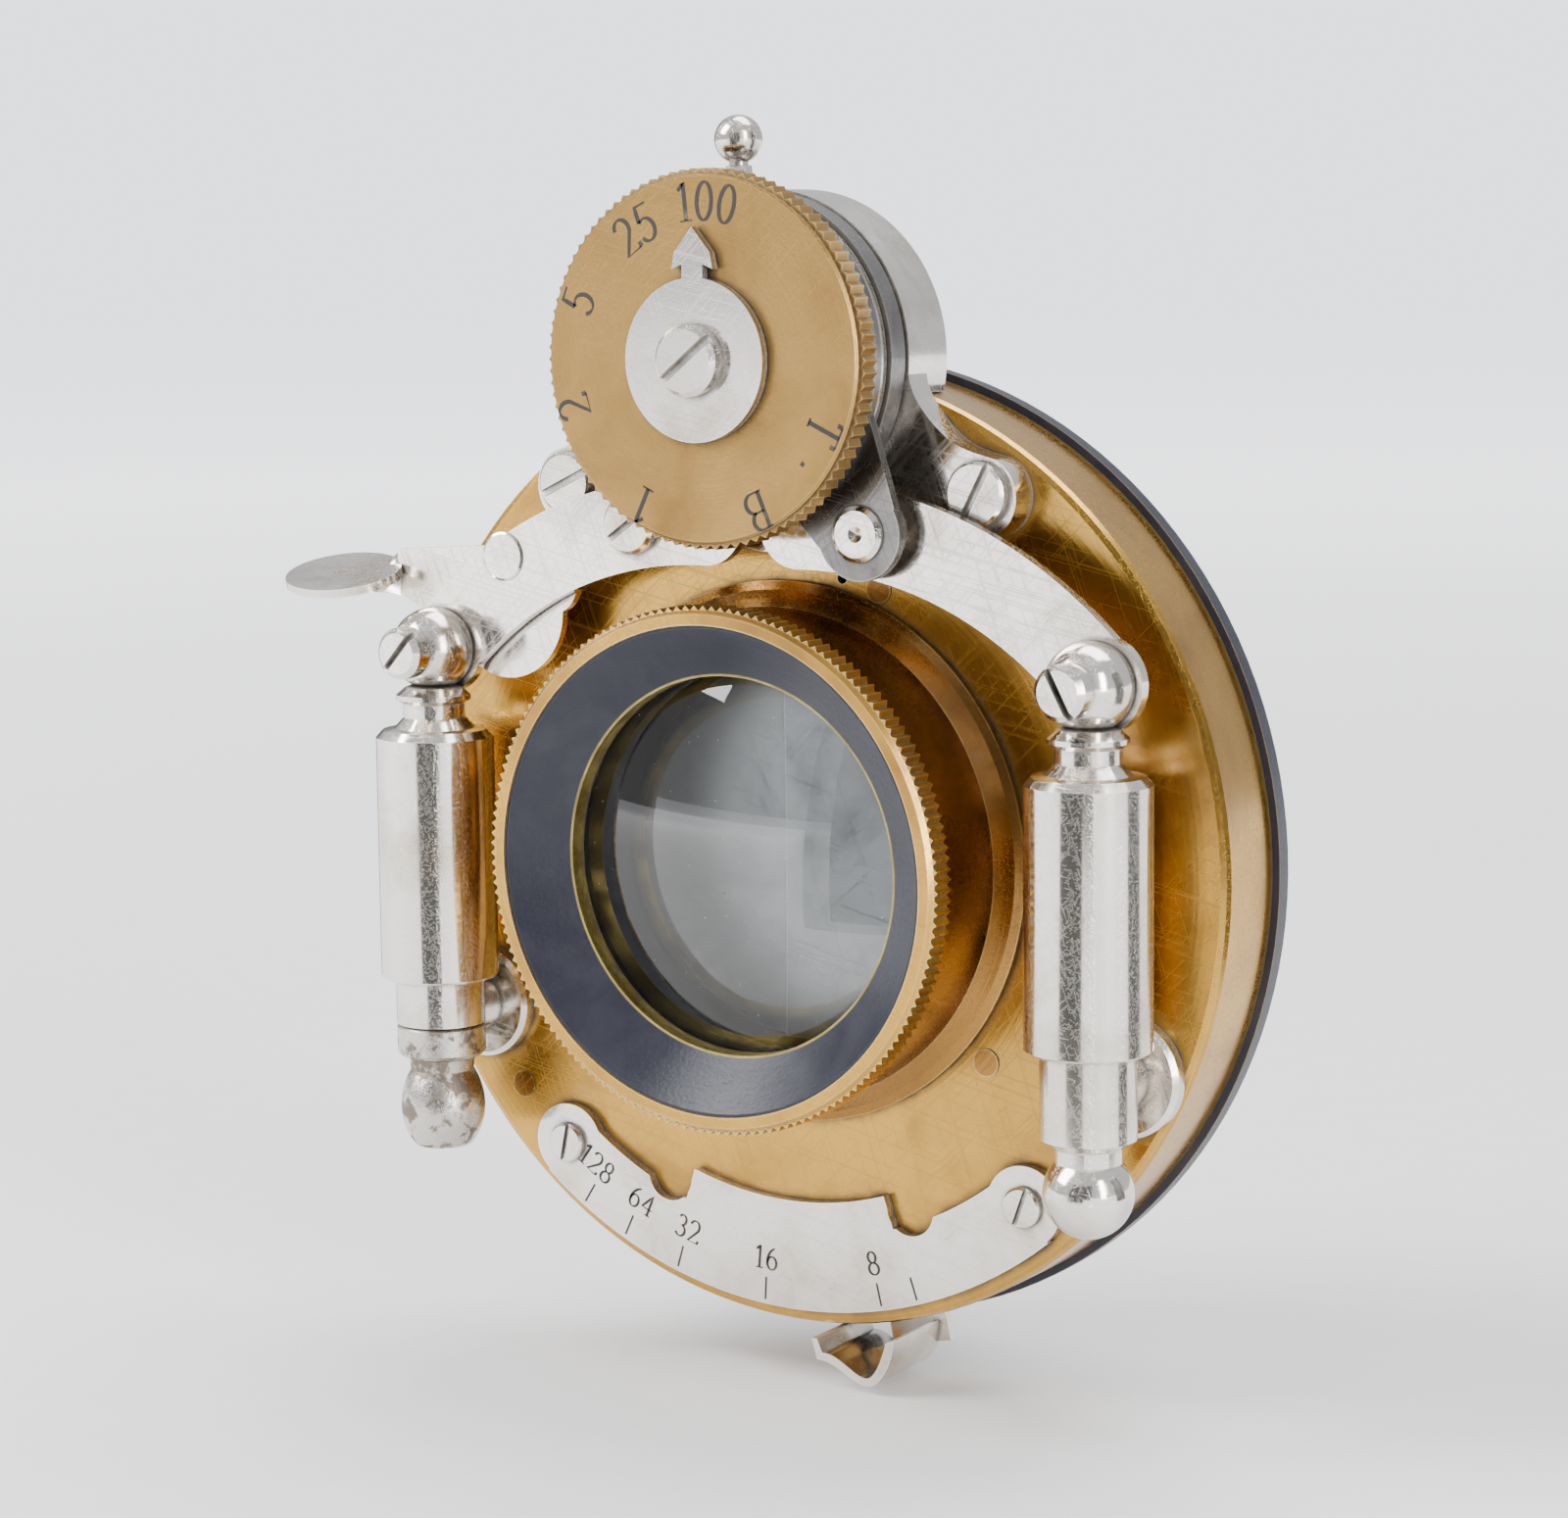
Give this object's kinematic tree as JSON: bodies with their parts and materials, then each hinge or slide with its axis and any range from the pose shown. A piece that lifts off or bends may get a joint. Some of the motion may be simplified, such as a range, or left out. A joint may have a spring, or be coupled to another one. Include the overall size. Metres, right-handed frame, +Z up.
{
  "type": "between-lens shutter with double lens",
  "caption": "Round brass between-lens shutter with a small double lens, knurled speed dial, curved nickel arms, upright air pumps and an aperture scale.",
  "frame": {"origin": "on the lens axis in the seat plane, where the back plate rests on a lens board", "axes": "+Z up towards the speed dial, +Y backwards along the lens axis into the camera, +X to the right seen from the front"},
  "size_m": [0.0684, 0.029, 0.0809],
  "materials": {
    "lacquered_brass": "turned, old lacquer, golden",
    "dial_brass": "satin, brown patina",
    "old_brass": "dull olive brass",
    "sheet_brass": "rolled sheet",
    "black_enamel": "satin blue-black enamel",
    "nickel": "bright warm nickel plate, lightly worn",
    "worn_nickel": "pitted nickel plate",
    "dark_nickel": "darkened nickel",
    "optical_glass": "polished, uncoated",
    "blackened_steel": "blackened thin sheet",
    "bright_steel": "turned steel",
    "spring_steel": "blued spring steel",
    "pump_leather": "oiled leather"
  },
  "bodies": {
    "shutter_case": {"aperture_scale": "nickel", "back_plate": "black_enamel", "back_plate_screws": "bright_steel", "bracket": "nickel", "bracket_screws": "nickel", "bridge_plate": "dark_nickel", "case_shell": "lacquered_brass", "dial_arbor": "bright_steel", "dial_pointer": "nickel", "dial_screw": "nickel", "drum_base": "dark_nickel", "finger_pivot": "dark_nickel", "frame_posts": "blackened_steel", "front_cell": "lacquered_brass", "front_crown_glass": "optical_glass", "front_flint_glass": "optical_glass", "front_glass_ring": "old_brass", "front_hood": "black_enamel", "front_tube": "lacquered_brass", "hose_nipple": "worn_nickel", "mainspring": "spring_steel", "mount_boss": "lacquered_brass", "partition_plate": "sheet_brass", "pump_feet": "nickel", "rear_cell": "lacquered_brass", "rear_crown_glass": "optical_glass", "rear_flint_glass": "optical_glass", "rear_glass_ring": "old_brass", "release_cylinder": "nickel", "retard_cylinder": "nickel", "retard_pivot": "nickel", "scale_screws": "nickel", "spring_drum": "dark_nickel", "vent_plug": "nickel"},
    "aperture_ring": {"iris_ring": "old_brass", "aperture_lever": "nickel"},
    "shutter_leaf_right": {"shutter_leaf_right": "blackened_steel"},
    "shutter_leaf_left": {"shutter_leaf_left": "blackened_steel"},
    "speed_dial": {"speed_dial": "dial_brass"},
    "setting_lever": {"setting_lever": "nickel", "setting_knob": "nickel"},
    "retard_arm": {"retard_arm": "nickel"},
    "retard_slide": {"retard_sleeve": "nickel", "retard_piston": "bright_steel", "retard_cup": "pump_leather", "retard_screw": "nickel"},
    "release_arm": {"release_arm": "nickel", "release_staff": "nickel", "release_rivet": "nickel", "drive_crank": "bright_steel"},
    "release_slide": {"release_sleeve": "nickel", "release_piston": "bright_steel", "release_cup": "pump_leather", "release_screw": "nickel"},
    "finger_lever": {"finger_lever": "nickel"},
    "iris_blade_1": {"iris_blade_1": "blackened_steel"},
    "iris_blade_2": {"iris_blade_2": "blackened_steel"},
    "iris_blade_3": {"iris_blade_3": "blackened_steel"},
    "iris_blade_4": {"iris_blade_4": "blackened_steel"},
    "iris_blade_5": {"iris_blade_5": "blackened_steel"}
  },
  "joints": [
    {"name": "aperture", "type": "hinge", "parent": "shutter_case", "child": "aperture_ring", "pos_m": [0, -0.00165, 0], "axis": [0, -1, 0], "range_deg": [-38, 15]},
    {"name": "speed", "type": "hinge", "parent": "shutter_case", "child": "speed_dial", "pos_m": [0, -0.0162, 0.0316], "axis": [0, -1, 0], "range_deg": [-245, 0]},
    {"name": "setting", "type": "hinge", "parent": "shutter_case", "child": "setting_lever", "pos_m": [0, -0.012, 0.0316], "axis": [0, -1, 0], "range_deg": [0, 40]},
    {"name": "retard_swing", "type": "hinge", "parent": "shutter_case", "child": "retard_arm", "pos_m": [0.00885, -0.0112, 0.021], "axis": [0, -1, 0], "range_deg": [0, 12.2]},
    {"name": "retard_stroke", "type": "slide", "parent": "shutter_case", "child": "retard_slide", "axis": [0, 0, 1], "range_m": [0, 0.00342]},
    {"name": "release", "type": "hinge", "parent": "shutter_case", "child": "release_arm", "pos_m": [-0.00885, -0.0112, 0.021], "axis": [0, -1, 0], "range_deg": [-8, 0], "stiffness_Nm_per_rad": 0.02, "springref_deg": 8.59},
    {"name": "release_stroke", "type": "slide", "parent": "shutter_case", "child": "release_slide", "axis": [0, 0, 1], "range_m": [0, 0.0023]},
    {"name": "finger_press", "type": "hinge", "parent": "shutter_case", "child": "finger_lever", "pos_m": [-0.0199, -0.0102, 0.015], "axis": [0, -1, 0], "range_deg": [0, 10.6]},
    {"name": "leaf_right_swing", "type": "hinge", "parent": "shutter_case", "child": "shutter_leaf_right", "pos_m": [0, -0.00528, 0.021], "axis": [0, -1, 0], "range_deg": [0, 32.2]},
    {"name": "leaf_left_swing", "type": "hinge", "parent": "shutter_case", "child": "shutter_leaf_left", "pos_m": [0, -0.00477, 0.021], "axis": [0, -1, 0], "range_deg": [-32.2, 0]},
    {"name": "iris_blade_1_swing", "type": "hinge", "parent": "shutter_case", "child": "iris_blade_1", "pos_m": [0.02302, -0.0023, 0.00838], "axis": [0, -1, 0], "range_deg": [-19.2, 7.6]},
    {"name": "iris_blade_2_swing", "type": "hinge", "parent": "shutter_case", "child": "iris_blade_2", "pos_m": [-0.00085, -0.00257, 0.02449], "axis": [0, -1, 0], "range_deg": [-19.2, 7.6]},
    {"name": "iris_blade_3_swing", "type": "hinge", "parent": "shutter_case", "child": "iris_blade_3", "pos_m": [-0.02355, -0.00284, 0.00675], "axis": [0, -1, 0], "range_deg": [-19.2, 7.6]},
    {"name": "iris_blade_4_swing", "type": "hinge", "parent": "shutter_case", "child": "iris_blade_4", "pos_m": [-0.0137, -0.00311, -0.02031], "axis": [0, -1, 0], "range_deg": [-19.2, 7.6]},
    {"name": "iris_blade_5_swing", "type": "hinge", "parent": "shutter_case", "child": "iris_blade_5", "pos_m": [0.01508, -0.00338, -0.01931], "axis": [0, -1, 0], "range_deg": [-19.2, 7.6]}
  ],
  "couplings": [
    {"joint": "setting", "follows": "retard_stroke", "rad_per_m": 204.07},
    {"joint": "retard_swing", "follows": "retard_stroke", "rad_per_m": 61.222},
    {"joint": "release_stroke", "follows": "release", "m_per_rad": -0.016099},
    {"joint": "finger_press", "follows": "release", "ratio": -1.3},
    {"joint": "leaf_right_swing", "follows": "release", "ratio": -4},
    {"joint": "leaf_left_swing", "follows": "release", "ratio": 4},
    {"joint": "iris_blade_1_swing", "follows": "aperture", "ratio": 0.5},
    {"joint": "iris_blade_2_swing", "follows": "aperture", "ratio": 0.5},
    {"joint": "iris_blade_3_swing", "follows": "aperture", "ratio": 0.5},
    {"joint": "iris_blade_4_swing", "follows": "aperture", "ratio": 0.5},
    {"joint": "iris_blade_5_swing", "follows": "aperture", "ratio": 0.5}
  ]
}
